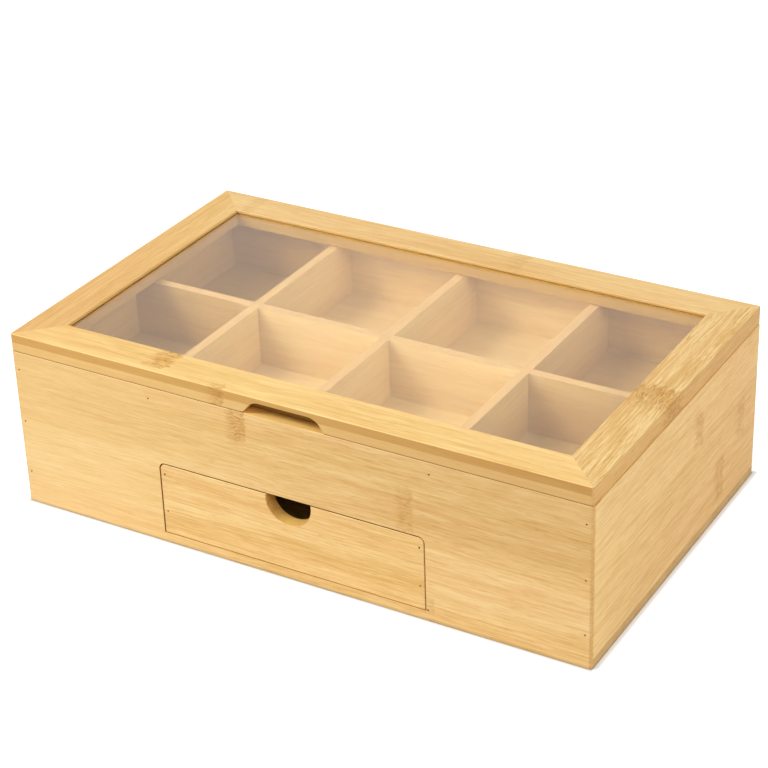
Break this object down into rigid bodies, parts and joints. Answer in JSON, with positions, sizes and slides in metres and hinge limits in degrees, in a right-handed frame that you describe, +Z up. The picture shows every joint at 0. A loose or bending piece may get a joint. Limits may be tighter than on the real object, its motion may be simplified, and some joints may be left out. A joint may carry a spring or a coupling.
{
  "type": "tea bag drawer box",
  "caption": "Low bamboo box for tea bags, with divided compartments under a hinged window lid and a drawer with a finger cut-out in the front below them.",
  "frame": {"origin": "centre of the underside", "axes": "+X along the front to the right, +Y from the front to the back, +Z up"},
  "size_m": [0.33, 0.2032, 0.1],
  "materials": {
    "panel_bamboo": "satin lacquered, horizontal strips",
    "lid_bamboo": "satin lacquered",
    "base_bamboo": "satin lacquered, caramel",
    "inner_bamboo": "matt, sanded",
    "clear_acrylic": "clear, polished",
    "brass": "satin",
    "dark_steel": "dull, darkened"
  },
  "bodies": {
    "case": {"front_panel": "panel_bamboo", "back_panel": "panel_bamboo", "left_side_panel": "panel_bamboo", "right_side_panel": "panel_bamboo", "base_board": "base_bamboo", "compartment_floor": "inner_bamboo", "long_divider": "inner_bamboo", "cross_divider_1": "inner_bamboo", "cross_divider_2": "inner_bamboo", "cross_divider_3": "inner_bamboo", "drawer_bay_left_wall": "inner_bamboo", "drawer_bay_right_wall": "inner_bamboo", "front_panel_brads": "dark_steel", "back_panel_brads": "dark_steel", "base_brads": "dark_steel", "hinge_case_leaf_left": "brass", "hinge_case_leaf_right": "brass", "hinge_pin_left": "brass", "hinge_pin_right": "brass", "case_hinge_screws": "brass"},
    "lid": {"lid_front_rail": "lid_bamboo", "lid_back_rail": "lid_bamboo", "lid_left_rail": "lid_bamboo", "lid_right_rail": "lid_bamboo", "window_pane": "clear_acrylic", "hinge_lid_leaf_left": "brass", "hinge_lid_leaf_right": "brass", "lid_hinge_screws": "brass"},
    "drawer": {"drawer_front": "panel_bamboo", "drawer_left_side": "inner_bamboo", "drawer_right_side": "inner_bamboo", "drawer_back": "inner_bamboo", "drawer_bottom": "inner_bamboo", "drawer_brads": "dark_steel"}
  },
  "joints": [
    {"name": "lid_hinge", "type": "hinge", "parent": "case", "child": "lid", "pos_m": [0, 0.1017, 0.09], "axis": [-1, 0, 0], "range_deg": [0, 100]},
    {"name": "drawer_slide", "type": "slide", "parent": "case", "child": "drawer", "axis": [0, -1, 0], "range_m": [0, 0.15]}
  ]
}
